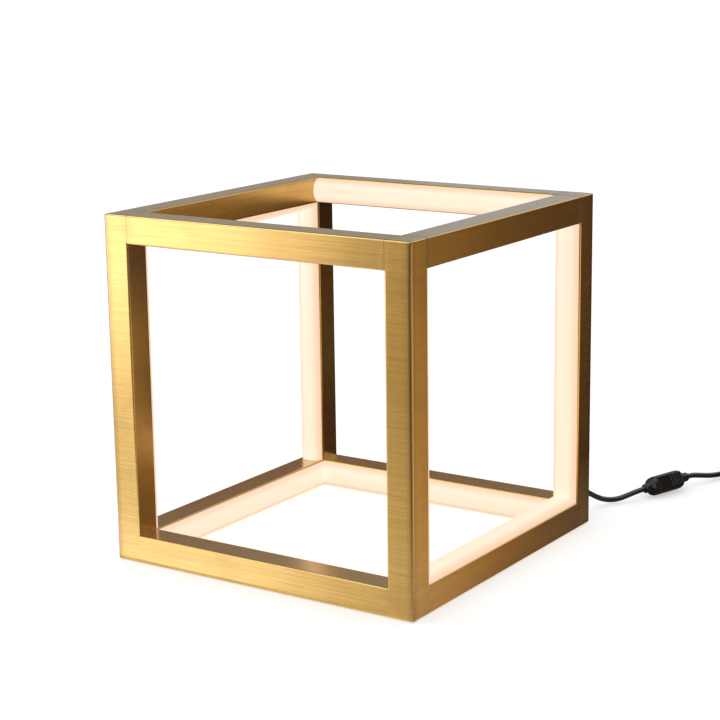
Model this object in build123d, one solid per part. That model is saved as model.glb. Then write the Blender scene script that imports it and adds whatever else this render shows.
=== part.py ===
from build123d import *
import math
import os

# Cube lamp of square brass bars with an opal light line in one side of each bar.
# Millimetres, +Z up, origin at the middle of the cube's underside, -Y is the front.

# Frame
cube_side = 250.0
bar_size = 20.0
bar_wall = 1.0
bar_edge_radius = 1.2

# Diffusers
diffuser_wall = 1.2
diffuser_leg = 5.0
dome_edge = 2.0
dome_rise = 4.6
mitre_gap = 0.1
diffuser_end_gap = 0.1

# Light strips
strip_width = 5.0
strip_thickness = 0.6
strip_bend = 3.0
strip_end_gap = 1.0
chip_length = 3.5
chip_width = 2.8
chip_height = 0.8
chips_per_bar = 12
jumper_width = 3.0
jumper_thickness = 0.3
jumper_lap = 3.0
jumper_slot_clearance = 0.4

# Strain relief in the back right post
gland_inset = 3.5
gland_height = 17.0
gland_neck_radius = 3.0
gland_neck_clearance = 0.1
gland_flange_radius = 4.2
gland_flange_thickness = 1.5
gland_root_radius = 3.4
gland_tip_radius = 2.8
gland_rim_radius = 0.5
gland_length = 11.0

# Cord
cord_diameter = 4.2
arc_share = 0.45
tail_points = [
    (111.5, 136.0, 17.0),
    (111.5, 143.6, 17.0),
    (111.6, 150.6, 14.3),
    (112.7, 158.4, 9.8),
    (114.9, 167.2, 5.4),
    (118.7, 175.4, 3.0),
    (123.4, 182.0, 3.6),
    (128.1, 187.6, 6.0),
    (132.3, 193.5, 7.8),
    (134.6, 201.2, 7.8),
]
run_straight = 6.7
run_steps = [
    (3.8, 7.6, -1.5),
    (4.2, 9.2, -1.9),
    (3.4, 9.8, -1.1),
    (2.2, 10.2, -0.5),
    (1.0, 10.1, 0.1),
    (0.0, 8.0, 0.0),
]
end_steps = [
    (0.0, 8.0, 0.0),
    (0.2, 9.0, -0.3),
    (0.4, 9.0, -0.5),
    (0.0, 8.0, 0.0),
]

# Put-away coil and its tie
coil_layers = 4
turns_per_layer = 2.5
coil_middle_radius = 24.5
coil_gap = 0.5
quarters_per_turn = 4
gap_samples_per_turn = 72
tie_thickness = 0.8
tie_width = 8.0
tie_room = 1.0
tie_corner = 3.0
tie_turn = 0.25

# In-line switch
switch_length = 38.0
switch_width = 14.6
switch_height = 13.6
switch_wall = 1.4
switch_end_flat = 0.8
switch_face_flat = 1.3
switch_face_tilt = 30.0
collar_root_radius = 3.9
collar_tip_radius = 3.6
collar_rim_radius = 1.3
collar_in_length = 5.0
collar_out_length = 7.0
rocker_length = 25.0
rocker_width = 9.8
rocker_side_clearance = 0.3
rocker_end_clearance = 0.8
rocker_plate = 3.6
rocker_stand = 1.2
rocker_dish = 1.2
rocker_edge_radius = 0.8
rocker_tilt = 6.0
hub_drop = 1.9
hub_half = 2.2
rib_count = 5
rib_radius = 0.7
rib_first = 1.7
rib_pitch = 2.4
pivot_radius = 1.0
pivot_depth = 4.2
pivot_hold = 0.5
pivot_clearance = 0.05
screw_inset = 7.0
screw_radius = 1.0
screw_grip = 1.8
screw_clearance = 0.1
screw_head_radius = 1.7
screw_head_height = 1.2
screw_head_clearance = 0.2
screw_slot_width = 0.5
screw_slot_depth = 0.5
boss_radius = 2.3
boss_rise = 2.4
web_thickness = 2.0

# Plug-in adapter
adapter_length = 60.0
adapter_width = 38.0
adapter_height = 32.4
adapter_wall = 2.0
adapter_edge_radius = 3.0
adapter_face_thickness = 3.0
adapter_relief_length = 14.0
adapter_relief_root = 3.6
adapter_relief_tip = 2.8
adapter_relief_rim = 0.5
blade_width = 6.3
blade_thickness = 1.5
blade_length = 16.0
blade_spacing = 12.7

# Places that follow from the sizes
half_side = cube_side / 2
bar_centre = half_side - bar_size / 2
rail_half = half_side - bar_size
rail_length = 2 * rail_half
mouth_width = bar_size - 2 * bar_wall
mouth = bar_size / 2
half_turn = Pos(0, 0, half_side) * Rot(0, 180, 0) * Pos(0, 0, -half_side)
cord_radius = cord_diameter / 2
FRONT_TO_BACK = Plane.XZ


def bar_frame(origin, along, lit):
    """Place of a bar: local Z along the bar, local Y out of its lit side."""
    across = Vector(*lit).cross(Vector(*along))
    return Plane(origin=origin, x_dir=across, z_dir=along).location


post_place = bar_frame((-bar_centre, -bar_centre, 0), (0, 0, 1), (0, 1, 0))
top_side_place = bar_frame((-bar_centre, -rail_half, cube_side - mouth), (0, 1, 0), (0, 0, -1))
bottom_front_place = bar_frame((-rail_half, -bar_centre, mouth), (1, 0, 0), (0, 1, 0))
bottom_side_place = bar_frame((-bar_centre, -rail_half, mouth), (0, 1, 0), (1, 0, 0))


# Frame bars
def bar_blank(length):
    """Square bar with rounded long edges, centred on its length."""
    bar = Box(bar_size, bar_size, length)
    return fillet(bar.edges().filter_by(Axis.Z), bar_edge_radius)


def make_post():
    """Square bar, closed at both ends, open on its lit side and windowed for the lower run."""
    blank = Pos(0, 0, half_side) * Box(bar_size, bar_size, cube_side)
    blank = fillet(blank.edges(), bar_edge_radius)
    stub = bar_blank(bar_edge_radius)
    flush = mouth - bar_edge_radius / 2
    for level in (mouth, cube_side - mouth):
        blank += Pos(flush, 0, level) * Rot(0, 90, 0) * stub
        blank += Pos(0, flush, level) * Rot(90, 0, 0) * stub
    inside = Pos(0, bar_wall / 2, half_side) * Box(
        mouth_width, bar_size - bar_wall, cube_side - 2 * bar_wall
    )
    window = Pos(mouth - bar_wall / 2, bar_wall / 2, mouth) * Box(
        bar_wall, bar_size - bar_wall, mouth_width
    )
    return blank - inside - window


def make_rail():
    """U-shaped bar between two posts, open on its lit side."""
    blank = Pos(0, 0, rail_half) * bar_blank(rail_length)
    inside = Pos(0, bar_wall / 2, rail_half) * Box(mouth_width, bar_size - bar_wall, rail_length)
    return blank - inside


# Diffusers
def dome_section():
    """Hollow opal section that fills the mouth of a bar and swells out of it."""
    half_width = mouth_width / 2
    radius = (half_width**2 + dome_rise**2) / (2 * dome_rise)
    top = mouth + dome_edge + dome_rise
    centre = top - radius
    inner_half = half_width - diffuser_wall
    inner_radius = radius - diffuser_wall
    inner_shoulder = centre + math.sqrt(inner_radius**2 - inner_half**2)
    foot = mouth - diffuser_leg
    shoulder = mouth + dome_edge
    outline = [
        Polyline((inner_half, foot), (half_width, foot), (half_width, shoulder)),
        ThreePointArc((half_width, shoulder), (0, top), (-half_width, shoulder)),
        Polyline((-half_width, shoulder), (-half_width, foot), (-inner_half, foot)),
        Line((-inner_half, foot), (-inner_half, inner_shoulder)),
        ThreePointArc(
            (-inner_half, inner_shoulder), (0, top - diffuser_wall), (inner_half, inner_shoulder)
        ),
        Line((inner_half, inner_shoulder), (inner_half, foot)),
    ]
    return make_face(outline)


def make_diffuser(low, high, low_mitred, high_mitred):
    """Diffuser between two places along its bar, each end square or mitred."""
    inner = -bar_size
    outer = bar_size
    setback = mitre_gap / math.sqrt(2)

    def low_end(height):
        return low + (height - mouth) + setback if low_mitred else low + diffuser_end_gap

    def high_end(height):
        return high - (height - mouth) - setback if high_mitred else high - diffuser_end_gap

    side = Polyline(
        (inner, low_end(inner)),
        (outer, low_end(outer)),
        (outer, high_end(outer)),
        (inner, high_end(inner)),
        close=True,
    )
    slab = extrude(Plane.YZ * make_face(side), amount=bar_size, both=True)
    start = min(low_end(inner), low_end(outer))
    length = max(high_end(inner), high_end(outer)) - start
    return extrude(Pos(0, 0, start) * dome_section(), amount=length) & slab


# Light strips
def make_strip():
    """Ribbon bent along three bars, with its light chips on the inside of the bend."""
    half_span = half_side - bar_wall
    reach = cube_side - bar_wall - bar_size - strip_end_gap
    outer = Pos(0, reach) * RectangleRounded(2 * half_span, 2 * reach, strip_bend)
    inner = Pos(0, reach) * RectangleRounded(
        2 * (half_span - strip_thickness), 2 * (reach - strip_thickness), strip_bend - strip_thickness
    )
    keep = Pos(0, reach / 2) * Rectangle(2 * half_span, reach)
    ribbon = extrude((outer - inner) & keep, amount=strip_width / 2, both=True)
    pitch = rail_length / chips_per_bar
    lift = strip_thickness + chip_height / 2
    chips = []
    for index in range(chips_per_bar):
        along = (index + 0.5) * pitch
        chips.append(Pos(along - rail_half, lift) * Box(chip_length, chip_height, chip_width))
        leg = bar_size - bar_wall + along
        for side in (-1, 1):
            place = Pos(side * (half_span - lift), leg)
            chips.append(place * Box(chip_height, chip_length, chip_width))
    return ribbon + chips


jumper_level = half_side - bar_wall - strip_thickness - jumper_thickness / 2


def make_jumpers():
    """Flat links that lie across the ends of neighbouring strips."""
    low = mouth - jumper_width / 2
    high = bar_size + strip_end_gap + jumper_lap
    upright = Box(jumper_width, jumper_thickness, high - low)
    front = Pos(-bar_centre, -jumper_level, (low + high) / 2) * upright
    back = mirror(half_turn * front, FRONT_TO_BACK)
    inner = rail_half - strip_end_gap - jumper_lap
    outer = bar_centre + jumper_width / 2
    flat = Box(outer - inner, jumper_thickness, jumper_width)
    low_back = Pos((inner + outer) / 2, jumper_level, mouth) * flat
    return Compound([front, back, low_back])


def jumper_slot():
    """Slot for a jumper through the inner side of the back right post."""
    tall = jumper_width + 2 * jumper_slot_clearance
    deep = jumper_thickness + 2 * jumper_slot_clearance
    return Pos(rail_half + bar_wall / 2, jumper_level, mouth) * Box(bar_wall, deep, tall)


# Cord
def tapered_sleeve(root, tip, length, rim):
    """Solid sleeve along local Z that narrows towards a tip with a rounded rim."""
    sleeve = Pos(0, 0, length / 2) * Cone(root, tip, length)
    return fillet(sleeve.edges().group_by(Axis.Z)[-1], rim)


def along_y(origin):
    """Place whose local Z runs towards the back."""
    return Plane(origin=origin, x_dir=(1, 0, 0), z_dir=(0, 1, 0)).location


def make_gland():
    """Strain relief with a neck through the wall and a flange on the post's back."""
    neck = Pos(0, 0, -bar_wall / 2) * Cylinder(gland_neck_radius, bar_wall)
    flange = Pos(0, 0, gland_flange_thickness / 2) * Cylinder(gland_flange_radius, gland_flange_thickness)
    sleeve = tapered_sleeve(gland_root_radius, gland_tip_radius, gland_length, gland_rim_radius)
    return along_y((bar_centre - gland_inset, half_side, gland_height)) * (neck + flange + sleeve)


def make_tube(name, points):
    """Round tube along straight runs joined by arcs as large as the runs allow."""
    knots = [Vector(*point) for point in points]
    radii = []
    for before, corner, after in zip(knots, knots[1:], knots[2:]):
        turn = math.radians((corner - before).get_angle(after - corner))
        shorter = min((corner - before).length, (after - corner).length)
        radii.append(arc_share * shorter / math.tan(turn / 2))
    path = FilletPolyline(*knots, radius=radii)
    section = Plane(origin=knots[0], z_dir=knots[1] - knots[0]) * Circle(cord_radius)
    tube = sweep(section, path=path)
    expected = math.pi * cord_radius**2 * path.length
    print(name, "length", round(path.length, 1), "volume ratio", round(tube.volume / expected, 4))
    print(name, "radii", [round(radius, 1) for radius in radii])
    return tube


def follow(start, steps):
    """Points reached from a start by steps taken one after another."""
    points = [start]
    for step in steps:
        points.append(points[-1] + Vector(*step))
    return points


switch_axis = (Vector(*tail_points[-1]) - Vector(*tail_points[-2])).normalized()
switch_reach = collar_in_length + switch_length / 2
switch_centre = Vector(*tail_points[-1]) + switch_axis * switch_reach
switch_side = switch_axis.cross(Vector(0, 0, 1))
face_rise = math.radians(switch_face_tilt)
switch_normal = switch_side * math.cos(face_rise) + Vector(0, 0, 1) * math.sin(face_rise)
switch_place = Plane(origin=switch_centre, x_dir=switch_axis, z_dir=switch_normal).location
switch_top = switch_height / 2
pivot_level = switch_top - pivot_depth
screw_place = switch_length / 2 - screw_inset
cavity_half_width = switch_width / 2 - switch_wall
switch_end_radius = switch_width / 2 - switch_end_flat
switch_edge_radius = min(switch_width, switch_height) / 2 - switch_face_flat
switch_exit = switch_centre + switch_axis * (switch_length / 2 + collar_out_length)
run_points = [switch_exit] + follow(switch_exit + switch_axis * run_straight, run_steps)

coil_pitch = cord_diameter + coil_gap
coil_outer = coil_middle_radius + turns_per_layer * coil_pitch / 2
coil_start = run_points[-1] + Vector(0, cord_diameter, 0)
coil_axis = coil_start + Vector(coil_outer, 0, 0)
coil_turns = coil_layers * turns_per_layer


def coil_point(turn):
    """Point of the coil after a number of turns, winding in and out a layer at a time."""
    within = turn % (2 * turns_per_layer)
    inward = min(within, 2 * turns_per_layer - within)
    radius = coil_outer - inward * coil_pitch
    layer = 0.0
    for climb in range(1, coil_layers):
        share = (turn - climb * turns_per_layer) * 2 + 0.5
        share = min(1.0, max(0.0, share))
        layer += share * share * (3 - 2 * share)
    angle = math.pi - 2 * math.pi * turn
    lift = layer * coil_pitch
    return coil_axis + Vector(radius * math.cos(angle), radius * math.sin(angle), lift)


def coil_tangent(turn):
    """Direction of the coil, level and straight on at its two ends."""
    step = 1 / (quarters_per_turn * gap_samples_per_turn)
    if turn in (0, coil_turns):
        return Vector(0, 1, 0)
    return (coil_point(turn + step) - coil_point(turn - step)).normalized()


def biarc(start, start_way, finish, finish_way):
    """Two arcs that leave the start and reach the finish in the given directions."""
    chord = finish - start
    both = start_way + finish_way
    room = 2 * (1 - start_way.dot(finish_way))
    reach = (math.sqrt(chord.dot(both) ** 2 + room * chord.dot(chord)) - chord.dot(both)) / room
    first = start + start_way * reach
    second = finish - finish_way * reach
    joint = (first + second) * 0.5
    return [
        TangentArc(start, joint, tangent=start_way),
        TangentArc(joint, finish, tangent=second - first),
    ]


def coil_self_gap():
    """Least clear distance between turns, measured on points along the coil."""
    count = int(coil_turns * gap_samples_per_turn)
    points = [coil_point(index / gap_samples_per_turn) for index in range(count + 1)]
    nearest = coil_outer
    skip = gap_samples_per_turn // 2
    for index, point in enumerate(points):
        for other in points[index + skip :]:
            nearest = min(nearest, (other - point).length)
    return nearest - cord_diameter


coil_end = coil_point(coil_turns) + Vector(0, cord_diameter, 0)


def make_coil():
    """Put-away coil as one unbroken tube, wound in and out in layers."""
    edges = [Line(coil_start - Vector(0, cord_diameter, 0), coil_start)]
    quarters = int(coil_turns * quarters_per_turn)
    for index in range(quarters):
        start = index / quarters_per_turn
        finish = (index + 1) / quarters_per_turn
        edges += biarc(
            coil_point(start), coil_tangent(start), coil_point(finish), coil_tangent(finish)
        )
    edges.append(Line(coil_point(coil_turns), coil_end))
    path = Wire([edge for piece in edges for edge in piece.edges()])
    section = Plane(origin=coil_start - Vector(0, cord_diameter, 0), z_dir=(0, 1, 0)) * Circle(cord_radius)
    coil = sweep(section, path=path)
    expected = math.pi * cord_radius**2 * path.length
    print("cord_coil length", round(path.length, 1), "volume ratio", round(coil.volume / expected, 4))
    print("cord_coil gap to itself", round(coil_self_gap(), 3))
    return coil


def make_tie():
    """Strap round the coil's bundle of turns."""
    bundle = turns_per_layer * coil_pitch + cord_diameter
    height = (coil_layers - 1) * coil_pitch + cord_diameter
    wide = bundle + 2 * tie_room
    tall = height + tie_room
    low = coil_start.Z - cord_radius
    outer = RectangleRounded(wide + 2 * tie_thickness, tall + 2 * tie_thickness, tie_corner)
    inner = RectangleRounded(wide, tall, tie_corner - tie_thickness)
    angle = 180 - 360 * tie_turn
    strap = extrude(outer - inner, amount=tie_width / 2, both=True)
    upright = Plane(origin=(0, 0, 0), x_dir=(1, 0, 0), z_dir=(0, -1, 0)).location
    place = Pos(coil_axis.X, coil_axis.Y, 0) * Rot(0, 0, angle)
    return place * Pos(coil_middle_radius, 0, low + tall / 2) * upright * strap


# In-line switch
def along_x(origin, forward):
    """Place whose local Z runs along the switch, forward or back."""
    return Plane(origin=origin, x_dir=(0, 1, 0), z_dir=(forward, 0, 0)).location


def switch_form(inset):
    """Rounded form of the switch's housing, drawn in by an inset all round."""
    plan = RectangleRounded(
        switch_length - 2 * inset, switch_width - 2 * inset, switch_end_radius - inset
    )
    form = extrude(plan, amount=switch_top - inset, both=True)
    rims = form.edges().group_by(Axis.Z)
    return fillet(rims[0] + rims[-1], switch_edge_radius - inset)


def collar(length):
    """Cord collar that starts inside the rounded end of the housing."""
    full = length + switch_end_radius
    return tapered_sleeve(collar_root_radius, collar_tip_radius, full, collar_rim_radius)


def switch_half(side):
    """Hollow upper or lower half of the housing with its halves of the cord collars."""
    seat = switch_length / 2 - switch_end_radius
    body = switch_form(0)
    body += along_x((-seat, 0, 0), -1) * collar(collar_in_length)
    body += along_x((seat, 0, 0), 1) * collar(collar_out_length)
    body -= switch_form(switch_wall)
    span = switch_length + 2 * collar_out_length
    return body & Pos(0, 0, side * switch_top / 2) * Box(span, switch_width, switch_top)


def make_switch_base():
    """Lower half of the housing, with bosses bored and counterbored for the screws."""
    base = switch_half(-1)
    tall = switch_top - switch_wall / 2
    head_room = screw_head_height + screw_head_clearance
    for end in (-1, 1):
        place = Pos(end * screw_place, 0, 0)
        base += place * Pos(0, 0, -tall / 2) * Cylinder(boss_radius, tall)
        base -= place * Pos(0, 0, -switch_top / 2) * Cylinder(screw_radius + screw_clearance, switch_top)
        recess = Cylinder(screw_head_radius + screw_head_clearance, head_room)
        base -= place * Pos(0, 0, -switch_top + head_room / 2) * recess
    return base


def pivot_span():
    """Length of the pivot between its blind seats in the housing's sides."""
    return 2 * (cavity_half_width + pivot_hold)


def make_switch_cover():
    """Upper half of the housing, with the rocker's opening and low bosses on webs for the screws."""
    cover = switch_half(1)
    opening_width = rocker_width + 2 * rocker_side_clearance
    opening_length = rocker_length + 2 * rocker_end_clearance
    cover -= Pos(0, 0, switch_top) * Box(opening_length, opening_width, 2 * (switch_top - boss_rise))
    cover -= Pos(0, 0, pivot_level) * Rot(90, 0, 0) * Cylinder(pivot_radius, pivot_span())
    web_width = 2 * cavity_half_width + switch_wall
    for end in (-1, 1):
        place = Pos(end * screw_place, 0, boss_rise / 2)
        cover += place * Box(web_thickness, web_width, boss_rise)
        cover += place * Cylinder(boss_radius, boss_rise)
        cover -= Pos(end * screw_place, 0, screw_grip / 2) * Cylinder(screw_radius, screw_grip)
    return cover


def make_rocker():
    """Rocker with a dished face, ribs across its raised half and a hub round its pivot."""
    half = rocker_length / 2
    edge = switch_top + rocker_stand
    middle = edge - rocker_dish
    plate = edge - rocker_plate
    hub = pivot_level - hub_drop
    underside = [(-half, plate), (-hub_half, plate), (-hub_half, hub)]
    underside += [(-along, level) for along, level in reversed(underside)]
    outline = Polyline(*underside, (half, edge), (0, middle), (-half, edge), close=True)
    body = extrude(Plane.XZ * make_face(outline), amount=rocker_width / 2, both=True)
    for end in (0, -1):
        rims = body.edges().filter_by(Axis.Y).group_by(Axis.X)[end]
        body = fillet(rims, rocker_edge_radius)
    for index in range(rib_count):
        place = rib_first + index * rib_pitch
        level = middle + rocker_dish * place / half
        body += Pos(place, 0, level) * Rot(90, 0, 0) * Cylinder(rib_radius, rocker_width)
    bore = Rot(90, 0, 0) * Cylinder(pivot_radius + pivot_clearance, rocker_width)
    body -= Pos(0, 0, pivot_level) * bore
    swing = Pos(0, 0, pivot_level) * Rot(0, -rocker_tilt, 0) * Pos(0, 0, -pivot_level)
    return swing * body


def make_pivot():
    """Pin that the rocker turns on."""
    return Pos(0, 0, pivot_level) * Rot(90, 0, 0) * Cylinder(pivot_radius, pivot_span())


def make_screws():
    """Two slotted screws that hold the housing together from below."""
    seat = -switch_top + screw_head_height + screw_head_clearance
    screws = []
    for end in (-1, 1):
        shank = Pos(0, 0, (seat + screw_grip) / 2) * Cylinder(screw_radius, screw_grip - seat)
        head = Pos(0, 0, seat - screw_head_height / 2) * Cylinder(screw_head_radius, screw_head_height)
        slot = Pos(0, 0, seat - screw_head_height) * Box(
            2 * screw_head_radius, screw_slot_width, 2 * screw_slot_depth
        )
        screws.append(Pos(end * screw_place, 0, 0) * (shank + head - slot))
    return screws


# Plug-in adapter
end_points = follow(coil_end, end_steps)
adapter_start = end_points[-1]
relief_place = along_y(adapter_start + Vector(0, adapter_relief_length, 0))
adapter_place = along_y((adapter_start.X, adapter_start.Y + adapter_relief_length, adapter_height / 2))


def make_adapter_case():
    """Hollow case, open at the end that the face closes."""
    plan = RectangleRounded(adapter_width, adapter_height, adapter_edge_radius)
    room_width = adapter_width - 2 * adapter_wall
    room_height = adapter_height - 2 * adapter_wall
    room = RectangleRounded(room_width, room_height, adapter_edge_radius - adapter_wall)
    case = extrude(plan, amount=adapter_length)
    return case - Pos(0, 0, adapter_wall) * extrude(room, amount=adapter_length)


def make_adapter_face():
    """End plate of the adapter, slotted for the blades."""
    plan = RectangleRounded(adapter_width, adapter_height, adapter_edge_radius)
    face = Pos(0, 0, adapter_length) * extrude(plan, amount=adapter_face_thickness)
    for side in (-1, 1):
        slot = Box(blade_thickness, blade_width, adapter_face_thickness)
        face -= Pos(side * blade_spacing / 2, 0, adapter_length + adapter_face_thickness / 2) * slot
    return face


def make_adapter_blades():
    """Two flat contact blades set in the adapter's face."""
    length = blade_length + adapter_face_thickness
    blades = []
    for side in (-1, 1):
        blade = Box(blade_thickness, blade_width, length)
        blades.append(Pos(side * blade_spacing / 2, 0, adapter_length + length / 2) * blade)
    return blades


# Assembly
nodes = {}


def add_pair(name_left, name_right, shape):
    """A piece and its twin half a turn round the cube's front-to-back axis."""
    nodes[name_left] = shape
    nodes[name_right] = half_turn * shape


def add_front_pair(kind, left, right, shape):
    """A front piece, its twin, and the mirror images of both at the back."""
    back = mirror(shape, FRONT_TO_BACK)
    add_pair(kind + left.replace("END", "front"), kind + right.replace("END", "front"), shape)
    add_pair(kind + left.replace("END", "back"), kind + right.replace("END", "back"), back)


add_front_pair("", "post_END_left", "post_END_right", post_place * make_post())
add_front_pair("", "rail_bottom_END", "rail_top_END", bottom_front_place * make_rail())
add_pair("rail_top_left", "rail_bottom_right", top_side_place * make_rail())
add_pair("rail_bottom_left", "rail_top_right", bottom_side_place * make_rail())

post_diffuser = make_diffuser(bar_size, cube_side - bar_size, False, True)
front_diffuser = make_diffuser(0, rail_length, True, False)
side_diffuser = make_diffuser(0, rail_length, True, True)
add_front_pair("diffuser_", "post_END_left", "post_END_right", post_place * post_diffuser)
add_front_pair("diffuser_", "rail_bottom_END", "rail_top_END", bottom_front_place * front_diffuser)
add_pair("diffuser_rail_top_left", "diffuser_rail_bottom_right", top_side_place * side_diffuser)
add_pair("diffuser_rail_bottom_left", "diffuser_rail_top_right", bottom_side_place * side_diffuser)

upper_bend = Plane(origin=(-bar_centre, 0, cube_side - bar_wall), x_dir=(0, 1, 0), z_dir=(-1, 0, 0))
lower_bend = Plane(origin=(bar_wall - half_side, 0, mouth), x_dir=(0, 1, 0), z_dir=(0, 0, -1))
add_pair("strip_left", "strip_right", upper_bend.location * make_strip())
add_pair("strip_bottom", "strip_top", lower_bend.location * make_strip())
nodes["strip_jumpers"] = make_jumpers()

gland_hole = along_y((bar_centre - gland_inset, half_side - bar_wall / 2, gland_height))
hole = gland_hole * Cylinder(gland_neck_radius + gland_neck_clearance, bar_wall)
nodes["post_back_right"] -= hole
nodes["post_back_right"] -= jumper_slot()
nodes["cord_gland"] = make_gland()
nodes["cord_tail"] = make_tube("cord_tail", tail_points)
nodes["switch_base"] = switch_place * make_switch_base()
nodes["switch_cover"] = switch_place * make_switch_cover()
nodes["switch_rocker"] = switch_place * make_rocker()
nodes["switch_pivot"] = switch_place * make_pivot()
nodes["switch_screws"] = switch_place * Compound(make_screws())
nodes["cord_run"] = make_tube("cord_run", run_points)
nodes["cord_coil"] = make_coil()
nodes["coil_tie"] = make_tie()
nodes["cord_end"] = make_tube("cord_end", end_points)
relief = tapered_sleeve(
    adapter_relief_root, adapter_relief_tip, adapter_relief_length, adapter_relief_rim
)
nodes["adapter_relief"] = relief_place * Rot(180, 0, 0) * relief
nodes["adapter_case"] = adapter_place * make_adapter_case()
nodes["adapter_face"] = adapter_place * make_adapter_face()
nodes["adapter_blades"] = adapter_place * Compound(make_adapter_blades())

os.makedirs("parts", exist_ok=True)
for name, shape in nodes.items():
    export_step(shape, f"parts/{name}.step")

pivot_at = switch_place * Pos(0, 0, pivot_level)
print("rocker pivot", pivot_at.position, "axis", switch_normal.cross(switch_axis))
print("switch centre", switch_centre, "coil end", coil_end, "adapter start", adapter_start)
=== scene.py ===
"""Cube table lamp: brushed brass bars, opal light lines, and a black cord with its switch and adapter.

Metres, +Z up, origin at the middle of the cube's underside, -Y is the front.
"""

import logging
import math
from collections.abc import Iterable
from dataclasses import dataclass, field
from enum import Enum
from typing import Any

import bmesh
import bpy
from mathutils import Matrix, Vector


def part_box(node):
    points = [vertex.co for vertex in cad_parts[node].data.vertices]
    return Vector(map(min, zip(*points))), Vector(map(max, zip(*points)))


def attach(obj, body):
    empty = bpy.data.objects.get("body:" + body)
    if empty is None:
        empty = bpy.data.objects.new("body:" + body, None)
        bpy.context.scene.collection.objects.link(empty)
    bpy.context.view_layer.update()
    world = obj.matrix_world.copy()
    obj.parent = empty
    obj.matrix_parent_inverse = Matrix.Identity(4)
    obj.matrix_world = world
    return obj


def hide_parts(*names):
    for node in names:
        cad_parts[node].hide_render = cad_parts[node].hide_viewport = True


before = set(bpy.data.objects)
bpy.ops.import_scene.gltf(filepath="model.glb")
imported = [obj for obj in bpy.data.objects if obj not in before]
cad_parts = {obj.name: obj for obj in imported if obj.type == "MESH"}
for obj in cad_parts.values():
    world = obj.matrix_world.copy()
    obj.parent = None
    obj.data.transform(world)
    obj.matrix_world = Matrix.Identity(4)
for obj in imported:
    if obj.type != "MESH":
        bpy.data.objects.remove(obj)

Colour = tuple[float, float, float]
Point = tuple[float, float, float]
Place = tuple[float, float]
Span = tuple[float, float]
Socket = bpy.types.NodeSocket
Finish = bpy.types.Material
Piece = bpy.types.Object

log = logging.getLogger("cube_lamp")
LAMP_BODY = "lamp"
WHITE: Colour = (1.0, 1.0, 1.0)
ORIGIN: Point = (0.0, 0.0, 0.0)
SQUARE: tuple[Place, ...] = ((-1.0, -1.0), (1.0, -1.0), (1.0, 1.0), (-1.0, 1.0))

# Fineness of the repeated shapes
BAR_RINGS = 11
BAR_SIDES = 10
BAR_BLUNTNESS = 6.0
BAR_END = 1.03
RING_SIDES = 36
MERGE_REACH = 1e-7


class Axis(Enum):
    """Axes of the cube, by their place in a point."""

    X = 0
    Y = 1
    Z = 2


class Stiffness(Enum):
    """How stiff a cord is."""

    LIMP = "limp"
    MEDIUM = "medium"
    STIFF = "stiff"


class Lay(Enum):
    """How a cord lies where it is seen."""

    LOOSE = "loose"
    HANGING = "hanging"
    COILED = "coiled"
    TAUT = "taut"


class FarEnd(Enum):
    """What a cord ends in."""

    PLUG = "plug"
    CONNECTOR = "connector"
    BARE = "bare"


class InputKind(Enum):
    """Kinds of input that a repeat tree takes."""

    SIZE = "NodeSocketFloat"
    COUNT = "NodeSocketInt"
    PLACE = "NodeSocketVector"
    FINISH = "NodeSocketMaterial"


# Node trees
class Signal:
    """A value socket of a node tree, on which Python's operators add Math nodes."""

    def __init__(self, bench: "Bench", socket: Socket) -> None:
        """Keeps the socket and the bench that adds nodes to its tree."""
        self.bench = bench
        self.socket = socket

    def maths(self, operation: str, first: Any, second: Any = 0.0) -> "Signal":
        """Result of one Math node on signals or numbers."""
        made = self.bench.node("ShaderNodeMath", {"operation": operation}, {0: first, 1: second})
        return Signal(self.bench, made.outputs[0])

    def __add__(self, other: Any) -> "Signal":
        """Sum of two signals."""
        return self.maths("ADD", self, other)

    __radd__ = __add__

    def __sub__(self, other: Any) -> "Signal":
        """Difference of two signals."""
        return self.maths("SUBTRACT", self, other)

    def __rsub__(self, other: Any) -> "Signal":
        """Difference with the number first."""
        return self.maths("SUBTRACT", other, self)

    def __mul__(self, other: Any) -> "Signal":
        """Product of two signals."""
        return self.maths("MULTIPLY", self, other)

    __rmul__ = __mul__

    def __pow__(self, power: float) -> "Signal":
        """The signal raised to a power."""
        return self.maths("POWER", self, power)

    def __abs__(self) -> "Signal":
        """Size of the signal without its sign."""
        return self.maths("ABSOLUTE", self)

    def least(self, other: Any) -> "Signal":
        """The smaller of two signals."""
        return self.maths("MINIMUM", self, other)

    def most(self, other: Any) -> "Signal":
        """The larger of two signals."""
        return self.maths("MAXIMUM", self, other)

    def blend(self, other: "Signal", share: float) -> "Signal":
        """Mean of two signals, with a share of the other one."""
        return self * (1.0 - share) + other * share

    def swing(self, size: float) -> "Signal":
        """The signal's swing about a half, at a size."""
        return (self - 0.5) * size

    def rise(self, low: float, high: float) -> "Signal":
        """Smooth step from nought at low to one at high.

        Args:
            low: Value where the step starts.
            high: Value where the step ends.

        Returns:
            The step, held between nought and one.
        """
        made = self.bench.node(
            "ShaderNodeMapRange",
            {"interpolation_type": "SMOOTHSTEP", "clamp": True},
            {"Value": self, "From Min": low, "From Max": high},
        )
        return Signal(self.bench, made.outputs[0])


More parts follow.
